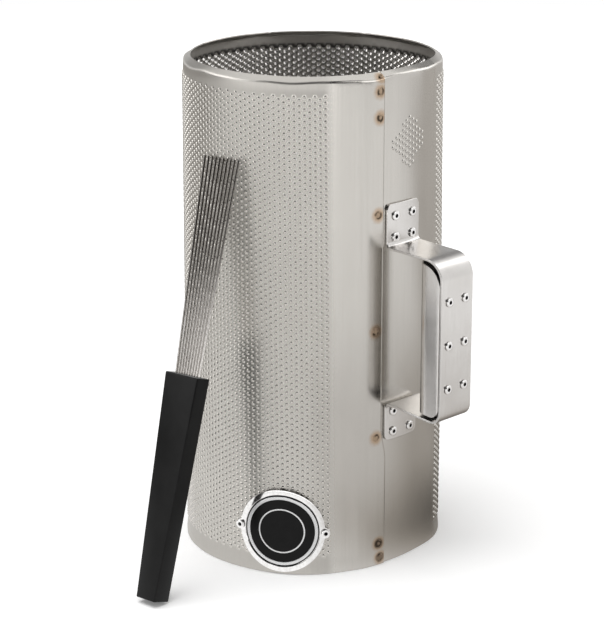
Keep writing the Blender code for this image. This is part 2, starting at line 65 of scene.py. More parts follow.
# Sizes shared with the solids
SEAT_GAP = 0.0003
BARREL_RADIUS = 0.089
BARREL_HEIGHT = 0.342
SHEET = 0.0008
LIP_IN = 0.0048
LIP_UP = 0.0031
PANEL_INSET = 0.0073
PANEL_HALF_ANGLE = 55.5
SEAM_ANGLE = -12.4
LAP_WIDTH = 0.012
JOGGLE_LENGTH = 0.015
HANDLE_WIDTH = 0.031
STRAP = 0.0016
HANDLE_REACH = 0.0494
UPPER_ARM = 0.2251
LOWER_ARM = 0.1151
UPPER_ARM_DROP = 0.0020
LOWER_ARM_DROP = 0.0046
UPPER_FOOT_HEIGHT = 0.0285
LOWER_FOOT_HEIGHT = 0.026
FOOT_RIVETS_FROM_FOLD = 0.013
FOOT_RIVET_COLUMNS = 0.0165
FOOT_RIVET_ROWS = 0.0145
FOOT_CORNER = 0.0038
FOLD_RADIUS = 0.003
UPPER_BEND_RADIUS = 0.0145
LOWER_BEND_RADIUS = 0.0085
LINER_SHEET = 0.0008
LINER_DEPTH = 0.0225
LINER_BACK_DEPTH = 0.011
LINER_EDGE_RADIUS = 0.0009
LINER_SLOT = 0.007
LINER_END_GAP = 0.0028
LINER_LOWER_CORNER = 0.007
GRIP_RIVET_COLUMNS = 0.016
GRIP_RIVET_HEIGHTS = (("top", 0.1954), ("middle", 0.1654), ("bottom", 0.1354))
RIVET_SHANK = 0.0032
RIVET_HEAD = 0.0064
RIVET_HEAD_HEIGHT = 0.0011
RIVET_BORE = 0.0021
RIVET_TAIL = 0.0046
RIVET_TAIL_LENGTH = 0.003
BADGE_RADIUS = 0.0295
BADGE_THICKNESS = 0.0013
BADGE_FLOOR = 0.0005
BADGE_RIM = 0.0037
BADGE_ANGLE = -59.5
BADGE_HEIGHT = 0.0018 + BADGE_RADIUS
BADGE_TILT = -2.0
BADGE_EAR_RADIUS = 0.0036
SCRAPER_LEAN = 16.0
SCRAPER_SIDE_LEAN = -3.0
SCRAPER_HANDLE_LENGTH = 0.1504
SCRAPER_MOUTH = (0.0311, 0.0113)
SCRAPER_BUTT = (0.0175, 0.0135)
SCRAPER_EDGE = 0.0009
TINE_COUNT = 10
TINE_DIAMETER = 0.0017
TINE_FREE_LENGTH = 0.1444
TINE_MOUTH_SPREAD = 0.0213
TINE_TIP_SPREAD = 0.0314
TINE_SLOT_DEPTH = 0.010

PANEL_RADIUS = BARREL_RADIUS - PANEL_INSET
FOOT_FACE = SEAT_GAP + STRAP
GRIP_INSIDE = HANDLE_REACH - STRAP - SEAT_GAP

# Sizes that only the looks have: the liner's upper corner is rounder than the solid's
LINER_UPPER_CORNER = 0.0138
LINER_SLIT = 0.0003
STRAP_EDGE = 0.00022
LINER_EDGE = 0.00015
BUTT_CLEARANCE = 0.00008
SLOT_CLEARANCE = 0.0006
MOUTH_EDGE = 0.0008

# The lower barrel stands a little fuller beside the handle, fading out upwards
FULL_SIDE = 0.0017
FULL_SIDE_ANGLE = 44.0
FULL_SIDE_HALF_ANGLE = 33.0
FULL_SIDE_TOP = 0.30
FULL_SIDE_FADE = 0.20

# Embossed domes: a staggered field that leaves a plain band behind the handle
DOME_COLUMN = 0.00347
DOME_ROW = 0.004084
DOME_ROWS = 78
DOME_RADIUS = 0.00135
DOME_HEIGHT = 0.00075
DOME_RINGS = (1.0, 0.78, 0.44)
CELL_INSET = 0.921
STRETCHED_WALL = 0.3
FIELD_SINK = 0.00018
PLAIN_ROWS = 4
PLAIN_POLISH = 0.85
BAND_POLISH = 0.5
FIELD_START_ANGLE = 31.5
FIELD_END_ANGLE = -39.8
FIELD_BOTTOM = 0.01296
FIELD_SKEW = -0.0118
SECTOR_COLUMNS = 20
LOZENGE_ANGLE = 5.5
LOZENGE_HEIGHT = 0.293
LOZENGE_HALF = 0.0195

# The lap's outer edge, curled down on the sheet under it
LAP_CURL = 0.0013
LAP_CURL_RADIUS = 0.0021
LAP_CURL_CUTS = (0.0, 0.25, 0.5, 0.7, 0.86)

# The rim's hand-turned bend, which rises and falls in waves of (height, number, start)
LIP_BEND_RADIUS = 0.0026
RIM_WAVES = ((0.00034, 7, 0.6), (0.00026, 11, 2.1), (0.00016, 19, 4.0))
RIM_WAVES_FROM = 0.3325

# Spot welds down the lap, as (angle, height, radius)
WELDS = (
    (-15.1, 0.3303, 0.0024),
    (-15.1, 0.3129, 0.0024),
    (-15.6, 0.2476, 0.0023),
    (-16.4, 0.1678, 0.0025),
    (-15.7, 0.0927, 0.0025),
    (-13.5, 0.0154, 0.0026),
    (-12.6, 0.0052, 0.0025),
)
TACK = (-14.2, 0.3400, 0.0015)
TACK_SINK = 0.0002
# A weld's crater, as (share of its radius, lift)
WELD_PROFILE = (
    (0.0, 0.00034),
    (0.35, 0.00026),
    (0.55, 0.00012),
    (0.75, 0.00022),
    (0.92, 0.00014),
    (1.0, -0.00004),
    (0.8, -0.0002),
    (0.0, -0.0002),
)

# A set rivet's crown, as (share of the way out from the bore, share of its height)
RIVET_CROWN = ((0.55, 0.995), (0.82, 0.965), (0.94, 0.80), (0.99, 0.42))
BORE_LIP = 0.00032

# The badge's bare rings
SILVER_RING_INSET = 0.0011
SILVER_RING_WIDTH = 0.0022
INNER_RING_RADIUS = 0.0150
INNER_RING_WIDTH = 0.0009

# Camera: the photograph's own view, from a fit to the barrel, handle and scraper
VIEW_ANGLE = -46.223
VIEW_ELEVATION = 16.4295
VIEW_DISTANCE = 1.68436
VIEW_ROLL = 0.003
VIEW_FOCAL_PIXELS = 2428.0
VIEW_CENTRE_PIXELS = (312.78, 296.04)
IMAGE_WIDTH = 604
IMAGE_HEIGHT = 640

rim_mount = Vector(frame["record"]["mounts"][0]["pos_m"])
AXIS = Vector((rim_mount.x + BARREL_RADIUS - DOME_HEIGHT - SHEET / 2, rim_mount.y, 0.0))


# The barrel's section, as length along it from the handle


def section_table():
    angles = np.linspace(-math.pi, math.pi, 5761)
    share = np.minimum(np.abs(angles) / math.radians(PANEL_HALF_ANGLE), 1.0)
    radii = BARREL_RADIUS - PANEL_INSET * np.cos(share * math.pi / 2) ** 2
    steps = np.hypot(np.diff(radii * np.cos(angles)), np.diff(radii * np.sin(angles)))
    arcs = np.concatenate([[0.0], np.cumsum(steps)])
    return angles, radii, arcs - np.interp(0.0, angles, arcs)


TURNS, RADII, ARCS = section_table()
GIRTH = ARCS[-1] - ARCS[0]


def arc_at(angle):
    return float(np.interp(math.radians(angle), TURNS, ARCS))


def section_point(arc):
    wrapped = (arc - ARCS[0]) % GIRTH + ARCS[0]
    turn = np.interp(wrapped, ARCS, TURNS)
    radius = np.interp(wrapped, ARCS, RADII)
    return radius * np.cos(turn), radius * np.sin(turn)


def rolled(points):
    """Takes (length round the section, height, lift) rows to places in the frame."""
    arc, height, lift = np.asarray(points, float).T
    x, y = section_point(arc)
    ahead = section_point(arc + 0.0005)
    behind = section_point(arc - 0.0005)
    along = np.stack([ahead[0] - behind[0], ahead[1] - behind[1]])
    along /= np.hypot(*along)
    return np.stack([AXIS.x + x + along[1] * lift, AXIS.y + y - along[0] * lift, height], axis=1)


def eased(value):
    value = np.clip(value, 0.0, 1.0)
    return value * value * (3 - 2 * value)


SEAM = arc_at(SEAM_ANGLE)
STRIP_START = SEAM - LAP_WIDTH
STRIP_END = SEAM + GIRTH
FIELD_END = arc_at(FIELD_END_ANGLE) + GIRTH
FIELD_COLUMNS = round((FIELD_END - arc_at(FIELD_START_ANGLE)) / DOME_COLUMN) + 1
FIELD_START = FIELD_END - (FIELD_COLUMNS - 1) * DOME_COLUMN


# Making pieces

ABOUT_Z = {"cent": (0, 0, 0), "axis": (0, 0, 1)}


def new_piece(name, bm, finish, body, replaced=(), sharp=35.0):
    """A finished object from a bmesh, riding on its body and standing for its solids."""
    for face in bm.faces:
        face.smooth = True
    for edge in bm.edges:
        edge.smooth = not edge.is_boundary and edge.calc_face_angle(0.0) < math.radians(sharp)
    mesh = bpy.data.meshes.new(name)
    bm.to_mesh(mesh)
    bm.free()
    mesh.materials.append(finish)
    piece = bpy.data.objects.new(name, mesh)
    bpy.context.scene.collection.objects.link(piece)
    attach(piece, body)
    if replaced:
        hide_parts(*replaced)
    return piece


def all_geom(bm):
    return bm.verts[:] + bm.edges[:] + bm.faces[:]


def move_verts(bm, places):
    for vert, place in zip(bm.verts, places):
        vert.co = place


def face_outwards(bm):
    """Turns a flat sheet's faces to its lifted side."""
    bmesh.ops.recalc_face_normals(bm, faces=bm.faces)
    if sum(face.normal.z * face.calc_area() for face in bm.faces) < 0:
        bmesh.ops.reverse_faces(bm, faces=bm.faces)


def keep_side(bm, point, normal):
    """Cuts the mesh by a plane and drops what lies on the normal's side."""
    bmesh.ops.bisect_plane(
        bm, geom=all_geom(bm), dist=1e-7, plane_co=point, plane_no=normal, clear_outer=True
    )


def turned(profile, segments, closed=False):
    """A profile of (radius, height) points turned about Z, as a closed solid."""
    bm = bmesh.new()
    verts = [bm.verts.new((radius, 0.0, height)) for radius, height in profile]
    pairs = list(zip(verts, verts[1:]))
    if closed:
        pairs.append((verts[-1], verts[0]))
    edges = [bm.edges.new(pair) for pair in pairs]
    bmesh.ops.spin(
        bm, geom=verts + edges, angle=2 * math.pi, steps=segments, use_merge=True, **ABOUT_Z
    )
    bmesh.ops.remove_doubles(bm, verts=bm.verts, dist=1e-7)
    bmesh.ops.recalc_face_normals(bm, faces=bm.faces)
    return bm


def sheet_grid(columns, rows, place):
    """A grid whose corner (column, row) goes to place(column, row)."""
    bm = bmesh.new()
    bmesh.ops.create_grid(bm, x_segments=columns, y_segments=rows, size=0.5)
    for vert in bm.verts:
        column = round((vert.co.x + 0.5) * columns)
        row = round((vert.co.y + 0.5) * rows)
        vert.co = place(column, row)
    return bm


def thicken(piece, thickness, edge=0.0):
    wall = piece.modifiers.new("thickness", "SOLIDIFY")
    wall.thickness = thickness
    wall.offset = -1.0
    wall.use_even_offset = edge > 0
    if edge:
        rounding = piece.modifiers.new("edge", "BEVEL")
        rounding.width = edge
        rounding.segments = 2
        rounding.limit_method = "ANGLE"
        rounding.angle_limit = math.radians(50)
        rounding.use_clamp_overlap = True


def rounded_path(corners, radii, steps):
    """The corners of a bent strip, with an arc of the given radius at each inner one."""
    path = [Vector(corners[0])]
    for before, corner, after, radius in zip(corners, corners[1:], corners[2:], radii):
        corner = Vector(corner)
        back = (Vector(before) - corner).normalized()
        ahead = (Vector(after) - corner).normalized()
        half = back.angle(ahead) / 2
        centre = corner + (back + ahead).normalized() * radius / math.sin(half)
        start = corner + back * radius / math.tan(half) - centre
        turn = start.angle_signed(corner + ahead * radius / math.tan(half) - centre)
        for step in range(steps + 1):
            swing = Matrix.Rotation(-turn * step / steps, 2)
            path.append(centre + swing @ start)
    path.append(Vector(corners[-1]))
    return path


def finer(path, longest):
    """Adds points on a path's long runs."""
    points = [path[0]]
    for start, end in zip(path, path[1:]):
        parts = max(math.ceil((end - start).length / longest), 1)
        points += [start.lerp(end, part / parts) for part in range(1, parts + 1)]
    return points


# Finishes


class Tap:
    """An output in a material's node tree. Sums and products of taps add Math nodes."""

    def __init__(self, tree, socket):
        self.tree = tree
        self.socket = socket

    def node(self, kind, settings, inputs, output=0):
        """Any other node: its settings first, then values or links for its sockets."""
        made = self.tree.nodes.new(kind)
        for name, value in settings.items():
            setattr(made, name, value)
        for key, value in inputs.items():
            if isinstance(value, Tap):
                self.tree.links.new(value.socket, made.inputs[key])
            else:
                made.inputs[key].default_value = value
        return Tap(self.tree, made.outputs[output]) if made.outputs else None

    def maths(self, operation, first, second):
        return self.node("ShaderNodeMath", {"operation": operation}, {0: first, 1: second})

    def __add__(self, other):
        return self.maths("ADD", self, other)

    def __sub__(self, other):
        return self.maths("SUBTRACT", self, other)

    def __rsub__(self, other):
        return self.maths("SUBTRACT", other, self)

    def __mul__(self, other):
        return self.maths("MULTIPLY", self, other)

    def __pow__(self, other):
        return self.maths("POWER", self, other)

    __radd__ = __add__
    __rmul__ = __mul__

    def least(self, other):
        return self.maths("MINIMUM", self, other)

    def between(self, low, high):
        """0 below low, 1 above high, eased between."""
        settings = {"interpolation_type": "SMOOTHSTEP"}
        return self.node("ShaderNodeMapRange", settings, {0: self, 1: low, 2: high})

    def noise(self, stretch, detail=2.0, roughness=0.5):
        """Noise on coordinates that are stretched by a scale for each axis."""
        scaled = self.node("ShaderNodeMapping", {}, {"Vector": self, "Scale": stretch})
        inputs = {"Vector": scaled, "Scale": 1.0, "Detail": detail, "Roughness": roughness}
        return self.node("ShaderNodeTexNoise", {}, inputs)

    def blend(self, first, second):
        """A colour that goes from the first to the second as this tap goes from 0 to 1."""
        settings = {"data_type": "RGBA"}
        return self.node("ShaderNodeMix", settings, {0: self, 6: first, 7: second}, 2)

    def bumped(self, strength, distance):
        inputs = {"Height": self, "Strength": strength, "Distance": distance}
        return self.node("ShaderNodeBump", {}, inputs)


def start_finish(name):
    """A new material, and the tap of its object coordinates."""
    material = bpy.data.materials.new(name)
    material.use_nodes = True
    tree = material.node_tree
    tree.nodes.clear()
    coords = tree.nodes.new("ShaderNodeTexCoord")
    return material, Tap(tree, coords.outputs["Object"])


def end_finish(tap, sockets):
    shader = tap.node("ShaderNodeBsdfPrincipled", {}, sockets)
    tap.node("ShaderNodeOutputMaterial", {}, {"Surface": shader})


def grey(value, warmth=0.0):
    return (value * (1 + warmth), value, value * (1 - warmth), 1.0)


def weld_places():
    points = [(arc_at(angle), height, SHEET + SEAT_GAP) for angle, height, _ in (*WELDS, TACK)]
    return rolled(points)


def make_sheet_finish(name, inside=False):
    """Rolled stainless sheet: faint upright grain, cloudy handling marks, heat tint at the welds; inside, painted
    shade on the flat sheet and a painted highlight on the dents and plain panel.
    """
    material, where = start_finish(name)
    grain = where.noise((700.0, 700.0, 9.0), 3.0)
    clouds = where.noise((22.0, 22.0, 14.0), 3.0, 0.6)
    specks = where.noise((420.0, 420.0, 420.0), 2.0)
    wobble = where.noise((380.0, 380.0, 380.0), 3.0)
    near = None
    for place in weld_places():
        inputs = {0: where, 1: tuple(place)}
        gap = where.node("ShaderNodeVectorMath", {"operation": "DISTANCE"}, inputs, 1)
        near = gap if near is None else near.least(gap)
    near = near + (wobble - 0.5) * 0.0016
    polish_and_inside_shading = where.node("ShaderNodeAttribute", {"attribute_name": "polish_and_inside_shading"}, {}, 2)
    heat = where.node("ShaderNodeAttribute", {"attribute_name": "weld_heat"}, {}, 2)
    height = where.node("ShaderNodeSeparateXYZ", {}, {0: where}, 2)
    broken = where.noise((230.0, 230.0, 230.0), 2.0).between(0.40, 0.60)
    straw = heat * (1 - near.between(0.0026, 0.0070))
    ring = heat * near.between(0.0008, 0.0018) * (1 - near.between(0.0022, 0.0036)) * broken
    crust = heat * (1 - near.between(0.0030, 0.0042)) * (1 - height.between(0.020, 0.030))
    steel = clouds.between(0.3, 0.7).blend((0.545, 0.523, 0.490, 1.0), (0.580, 0.558, 0.522, 1.0))
    steel = (grain.between(0.35, 0.7) * 0.2).blend(steel, (0.50, 0.48, 0.445, 1.0))
    steel = (specks.between(0.70, 0.78) * 0.25).blend(steel, grey(0.42, 0.05))
    steel = ((1 - polish_and_inside_shading) * 0.4).blend(steel, (0.390, 0.374, 0.348, 1.0))
    # Inside, the flat sheet is painted near black as painted shade, and the dents and plain panel are painted pale
    # as a painted highlight.
    if inside:
        steel = ((1 - polish_and_inside_shading.between(0.0, 0.2)) * 0.9).blend(steel, grey(0.06, 0.05))
        steel = polish_and_inside_shading.between(0.6, 0.9).blend(steel, grey(0.88, 0.02))
    steel = (straw * 0.8).blend(steel, (0.42, 0.29, 0.18, 1.0))
    steel = (crust * 0.6).blend(steel, (0.10, 0.08, 0.065, 1.0))
    steel = (ring * 0.9).blend(steel, (0.055, 0.041, 0.030, 1.0))
    rough = 0.46 - polish_and_inside_shading * 0.35 + clouds * 0.08 + grain * 0.04 + ring * 0.18
    sockets = {"Base Color": steel, "Metallic": 1.0, "Roughness": rough}
    sockets["Normal"] = grain.bumped(0.05, 0.0004)
    end_finish(where, sockets)
    return material


def make_strap_finish():
    """Bent strip: brushed along its length."""
    material, where = start_finish("stainless_strap_brushed")
    grain = where.noise((60.0, 1500.0, 60.0), 3.0)
    clouds = where.noise((40.0, 40.0, 40.0), 3.0, 0.6)
    steel = clouds.between(0.3, 0.7).blend(grey(0.63, 0.034), grey(0.68, 0.028))
    steel = (grain.between(0.4, 0.75) * 0.25).blend(steel, grey(0.56, 0.042))
    sockets = {"Base Color": steel, "Metallic": 1.0, "Roughness": 0.17 + clouds * 0.10 + grain * 0.04}
    sockets["Normal"] = grain.bumped(0.04, 0.0003)
    end_finish(where, sockets)
    return material


def make_bright_finish(name, tone, roughness):
    """Bright turned or plated metal with faint handling marks."""
    material, where = start_finish(name)
    marks = where.noise((500.0, 500.0, 500.0), 3.0)
    metal = marks.between(0.35, 0.75).blend(grey(tone, 0.01), grey(tone * 0.9, 0.02))
    sockets = {"Base Color": metal, "Metallic": 1.0, "Roughness": roughness + marks * 0.08}
    end_finish(where, sockets)
    return material


def make_stem_and_bore_shade_finish():
    # Near black and not metal: painted shade for the rivet's bore and for the stem down in it.
    material, where = start_finish("rivet_stem_and_bore_shade")
    marks = where.noise((1800.0, 1800.0, 1800.0), 2.0)
    metal = marks.blend(grey(0.006), grey(0.016, 0.05))
    sockets = {"Base Color": metal, "Roughness": 0.6 + marks * 0.3, "Specular IOR Level": 0.1}
    end_finish(where, sockets)
    return material


def make_enamel_finish():
    material, where = start_finish("badge_black_enamel")
    haze = where.noise((160.0, 160.0, 160.0), 3.0)
    colour = haze.blend(grey(0.004), grey(0.009))
    sockets = {"Base Color": colour, "Roughness": 0.16 + haze * 0.12, "Specular IOR Level": 0.13}
    sockets["Normal"] = haze.bumped(0.05, 0.0003)
    end_finish(where, sockets)
    return material


def make_hatch_finish():
    """The badge's silver ring, under fine slanting hatch lines."""
    material, where = start_finish("badge_silver_hatch")
    axes = where.node("ShaderNodeSeparateXYZ", {}, {0: where}, 0)
    height = Tap(where.tree, axes.socket.node.outputs[2])
    across = Tap(where.tree, axes.socket.node.outputs[1])
    lines = where.maths("SINE", (height + across * 0.9) * 5200.0, 0.0)
    silver = lines.between(-0.4, 0.9).blend(grey(0.78), grey(0.52))
    end_finish(where, {"Base Color": silver, "Metallic": 0.85, "Roughness": 0.32 + lines * 0.05})
    return material


def make_plastic_finish(name, dark, light, roughness):
    """Moulded plastic: smooth, with a faint pebble and rubbed patches."""
    material, where = start_finish(name)
    pebble = where.noise((2400.0, 2400.0, 2400.0), 2.0)
    rubs = where.noise((70.0, 70.0, 70.0), 3.0, 0.5)
    colour = rubs.between(0.3, 0.7).blend(grey(dark), grey(light))
    sockets = {"Base Color": colour, "Roughness": roughness + rubs * 0.05, "Specular IOR Level": 0.14}
    sockets["Normal"] = pebble.bumped(0.04, 0.0002)
    end_finish(where, sockets)
    return material


def make_wire_finish():
    """Drawn spring wire with faint marks along it, painted darker on its upper part as painted shade."""
    material, where = start_finish("spring_wire_drawn")
    draw = where.noise((1500.0, 1500.0, 40.0), 3.0)
    height = where.node("ShaderNodeSeparateXYZ", {}, {0: where}, 2)
    # Painted shade: the wire is painted darker above about 0.2 m and lighter below.
    steel = height.between(0.17, 0.235).blend(grey(0.66, 0.045), grey(0.25, 0.075))
    steel = (draw.between(0.35, 0.75) * 0.3).blend(steel, grey(0.24, 0.07))
    sockets = {"Base Color": steel, "Metallic": 1.0, "Roughness": 0.10 + draw * 0.07}
    sockets["Normal"] = draw.bumped(0.06, 0.0002)
    end_finish(where, sockets)
    return material


SHEET_FINISH = make_sheet_finish("stainless_sheet_rolled")
# The inside's finish carries painted shade between the dents and a painted highlight on them.
INSIDE_SHADE_FINISH = make_sheet_finish("stainless_sheet_inside_painted_shade", True)
STRAP_FINISH = make_strap_finish()
RIVET_FINISH = make_bright_finish("rivet_bright", 0.88, 0.18)
CHROME_FINISH = make_bright_finish("badge_chrome_plate", 0.86, 0.07)
STEM_AND_BORE_SHADE_FINISH = make_stem_and_bore_shade_finish()
ENAMEL_FINISH = make_enamel_finish()
HATCH_FINISH = make_hatch_finish()
PLASTIC_FINISH = make_plastic_finish("scraper_black_plastic", 0.0065, 0.0095, 0.33)
# The mouth's end takes a light grey: a painted sheen of light from above on that face.
MOUTH_SHEEN_FINISH = make_plastic_finish("scraper_mouth_painted_sheen", 0.16, 0.30, 0.5)
WIRE_FINISH = make_wire_finish()


# Barrel


def dome_rise(radius):
    """Height of a dome's cap at a distance from its middle."""
    ball = (DOME_RADIUS**2 + DOME_HEIGHT**2) / (2 * DOME_HEIGHT)
    return math.sqrt(ball**2 - radius**2) - (ball - DOME_HEIGHT)


def is_embossed(column, row, arc, height):
    if 0 <= column < FIELD_COLUMNS:
        return 0 <= row < DOME_ROWS
    away = abs(arc - arc_at(LOZENGE_ANGLE)) + abs(height - LOZENGE_HEIGHT)
    return away < LOZENGE_HALF


def emboss(bm, faces):
    """Presses a dome out of each cell: its foot, two rings and the crown."""
    cell = min(DOME_ROW, DOME_COLUMN * 2 / math.sqrt(3)) / 2
    inner, low = cell / CELL_INSET, 0.0
    stretched = set()
    for share in DOME_RINGS:
        ring = share * DOME_RADIUS
        rise = dome_rise(ring)
        inset = CELL_INSET * (inner - ring)
        bmesh.ops.inset_individual(
            bm, faces=faces, thickness=inset, depth=rise - low, use_even_offset=True
        )
        inner, low = ring, rise
        stretched.update(vert for face in faces for vert in face.verts)
    crowns = bmesh.ops.poke(bm, faces=faces, offset=DOME_HEIGHT - low)["verts"]
    stretched.update(crowns)
    return stretched


def cell_sheet(first, count):
    """Flat six-sided cells over whole columns: arc along X, height along Y, lift along Z."""
    bm = bmesh.new()
    wall = bm.verts.layers.deform.verify()
    polish_and_inside_shading = bm.verts.layers.float.new("polish_and_inside_shading")
    heat = bm.verts.layers.float.new("weld_heat")
    bmesh.ops.create_circle(bm, cap_ends=True, segments=6, radius=1.0)
    bmesh.ops.rotate(bm, verts=bm.verts, cent=(0, 0, 0), matrix=Matrix.Rotation(math.pi / 2, 3, "Z"))
    size = (DOME_COLUMN / 1.5, DOME_ROW / math.sqrt(3), 1.0)
    bmesh.ops.scale(bm, verts=bm.verts, vec=size)
    start = (FIELD_START + first * DOME_COLUMN, FIELD_BOTTOM - PLAIN_ROWS * DOME_ROW, 0.0)
    bmesh.ops.translate(bm, verts=bm.verts, vec=start)
    rows = DOME_ROWS + 2 * PLAIN_ROWS
    slant = DOME_ROW / 2 if (FIELD_COLUMNS - 1 - first) % 2 else -DOME_ROW / 2
    if slant < 0:
        bmesh.ops.translate(bm, verts=bm.verts, vec=(0, DOME_ROW / 2, 0))
    for step, copies in (
        ((DOME_COLUMN, slant, 0), 1),
        ((2 * DOME_COLUMN, 0, 0), count // 2 - 1),
        ((0, DOME_ROW, 0), rows - 1),
    ):
        bmesh.ops.spin(
            bm, geom=all_geom(bm), dvec=step, angle=0.0, steps=copies, use_duplicate=True, **ABOUT_Z
        )
    bmesh.ops.remove_doubles(bm, verts=bm.verts, dist=1e-5)
    face_outwards(bm)
    raised = []
    for face in bm.faces:
        middle = face.calc_center_median()
        column = round((middle.x - FIELD_START) / DOME_COLUMN)
        row = math.floor((middle.y - FIELD_BOTTOM) / DOME_ROW + 0.25)
        if is_embossed(column, row, middle.x, middle.y):
            raised.append(face)
    stretched = emboss(bm, raised) if raised else set()
    field_top = FIELD_BOTTOM + DOME_ROWS * DOME_ROW
    for vert in bm.verts:
        vert[wall][0] = STRETCHED_WALL if vert in stretched else 1.0
        beside = max(FIELD_START - vert.co.x, vert.co.x - FIELD_END) / DOME_COLUMN
        above = BAND_POLISH * (vert.co.y - field_top) / DOME_ROW
        plain = min(max(beside, min(above, BAND_POLISH), 0.0), 1.0)
        # This mask also sets the inside's painted shade and painted highlight.
        vert[polish_and_inside_shading] = 1.0 if vert in stretched else PLAIN_POLISH * plain
        vert[heat] = 1.0 if vert.co.x > GIRTH / 2 else 0.0
    return bm


def cut_lap_edge(bm):
    """Edges along the lap's last stretch, which is thinned and curled down."""
    wall = bm.verts.layers.deform.verify()
    for share in LAP_CURL_CUTS:
        place = STRIP_END - LAP_CURL * (1 - share)
        bmesh.ops.bisect_plane(
            bm, geom=all_geom(bm), dist=1e-7, plane_co=(place, 0, 0), plane_no=(1, 0, 0)
        )
    for vert in bm.verts:
        share = 1 - (STRIP_END - vert.co.x) / LAP_CURL
        if share > 0:
            vert[wall][0] = 1 - (1 - STRETCHED_WALL) * share


def lip_profile():
    """Steps (up, in) that turn the top edge inwards, from where the bend begins."""
    lean = math.atan2(LIP_IN, LIP_UP)
    tangent = LIP_BEND_RADIUS * math.tan(lean / 2)
    fold = BARREL_HEIGHT - LIP_UP
    corners = [(fold - tangent, 0.0), (fold, 0.0), (BARREL_HEIGHT, -LIP_IN)]
    path = rounded_path(corners, [LIP_BEND_RADIUS], 6)
    return finer(path[1:], 0.002)


def beaten(arc):
    """The hand-turned bend's small rise and fall round the rim."""
    turn = arc / GIRTH * 2 * math.pi
    return sum(rise * np.sin(number * turn + start) for rise, number, start in RIM_WAVES)


def shaped_sheet(flat):
    """Rolls the flat sheet: field lowered to its domes' tops, lap lifted, rim beaten."""
    arc, height, lift = flat.T.copy()
    turn = np.degrees(np.interp((arc - ARCS[0]) % GIRTH + ARCS[0], ARCS, TURNS))
    in_field = np.where(turn > 0, eased((turn - 12) / 18), eased((-turn - 14) / 24))
    lap = eased(1 - (STRIP_END - LAP_WIDTH - arc) / JOGGLE_LENGTH) * (SHEET + SEAT_GAP)
    to_rim = eased((height - RIM_WAVES_FROM) / 0.006)
    curl = np.clip(arc - STRIP_END + LAP_CURL, 0.0, LAP_CURL)
    lap -= LAP_CURL_RADIUS - np.sqrt(LAP_CURL_RADIUS**2 - curl**2)
    sunk = DOME_HEIGHT * eased((height - 0.002) / 0.009) + FIELD_SINK
    lift += lap - sunk * in_field
    beside = np.clip(1 - np.abs(turn - FULL_SIDE_ANGLE) / FULL_SIDE_HALF_ANGLE, 0.0, 1.0)
    fade = np.clip((FULL_SIDE_TOP - height) / FULL_SIDE_FADE, 0.0, 1.0)
    lift += FULL_SIDE * eased(1.6 * beside) * fade
    from_seam = np.minimum(arc - STRIP_START, STRIP_END - arc)
    free = eased((from_seam - 0.012) / 0.03)
    arc += FIELD_SKEW * (height - BARREL_HEIGHT / 2) * free
    foot_slip = 0.0040 * eased((0.100 - height) / 0.025)
    arc += foot_slip * eased((arc - STRIP_END + 0.02) / 0.02)
    height += beaten(arc) * to_rim * eased((BARREL_HEIGHT - height) / 0.002)
    return rolled(np.stack([arc, height, lift], axis=1))


def turn_in_lip(bm):
    """Extrudes the top edge through the lip's bend."""
    steps = lip_profile()
    top = steps[0][0]
    keep_side(bm, (0, top, 0), (0, 1, 0))
    keep_side(bm, (0, 0, 0), (0, -1, 0))
    edges = [e for e in bm.edges if e.is_boundary and all(v.co.y > top - 1e-6 for v in e.verts)]
    for here, there in zip(steps, steps[1:]):
        made = bmesh.ops.extrude_edge_only(bm, edges=edges)["geom"]
        verts = [item for item in made if isinstance(item, bmesh.types.BMVert)]
        edges = [item for item in made if isinstance(item, bmesh.types.BMEdge)]
        bmesh.ops.translate(bm, verts=verts, vec=(0, there[0] - here[0], there[1] - here[1]))
    face_outwards(bm)


def make_barrel():
    before = math.ceil((FIELD_START - STRIP_START) / DOME_COLUMN) + 1
    before += before % 2
    after = math.ceil((STRIP_END - FIELD_END) / DOME_COLUMN) + 1
    last = FIELD_COLUMNS + after
    first, number = -before, 1
    while first < last:
        count = min(SECTOR_COLUMNS, last - first)
        count += count % 2
        bm = cell_sheet(first, count)
        keep_side(bm, (STRIP_START, 0, 0), (-1, 0, 0))
        keep_side(bm, (STRIP_END, 0, 0), (1, 0, 0))
        cut_lap_edge(bm)
        turn_in_lip(bm)
        move_verts(bm, shaped_sheet(np.array([vert.co for vert in bm.verts])))
        name = f"barrel_sheet_{number:02d}"
        piece = new_piece(name, bm, SHEET_FINISH, "instrument", ("barrel",), 38.0)
        thicken(piece, SHEET)
        # The inside faces take the finish with painted shade and painted highlight.
        piece.data.materials.append(INSIDE_SHADE_FINISH)
        wall = piece.modifiers["thickness"]
        wall.vertex_group = piece.vertex_groups.new(name="wall").name
        wall.material_offset = 1
        first += count
        number += 1


def heated(bm):
    """Marks a whole weld as tinted by its heat."""
    heat = bm.verts.layers.float.new("weld_heat")
    for vert in bm.verts:
        vert[heat] = 1.0
    return bm


def make_welds():
    """Shallow weld craters down the lap, and a tack on the rim's bend."""
    for number, (angle, height, radius) in enumerate(WELDS, 1):
        profile = [(share * radius, lift) for share, lift in WELD_PROFILE]
        bm = heated(turned(profile, 20))
        flat = np.array([vert.co for vert in bm.verts])
        flat += (arc_at(angle), height, SHEET + SEAT_GAP)
        move_verts(bm, rolled(flat))
        new_piece(f"lap_weld_{number}", bm, SHEET_FINISH, "instrument")
    angle, height, radius = TACK
    bm = bmesh.new()
    bmesh.ops.create_uvsphere(bm, u_segments=16, v_segments=10, radius=radius)
    flat = np.array([vert.co for vert in heated(bm).verts])
    flat += (arc_at(angle), height, -TACK_SINK)
    move_verts(bm, rolled(flat))
    new_piece("rim_tack_weld", bm, SHEET_FINISH, "instrument")


# Handle


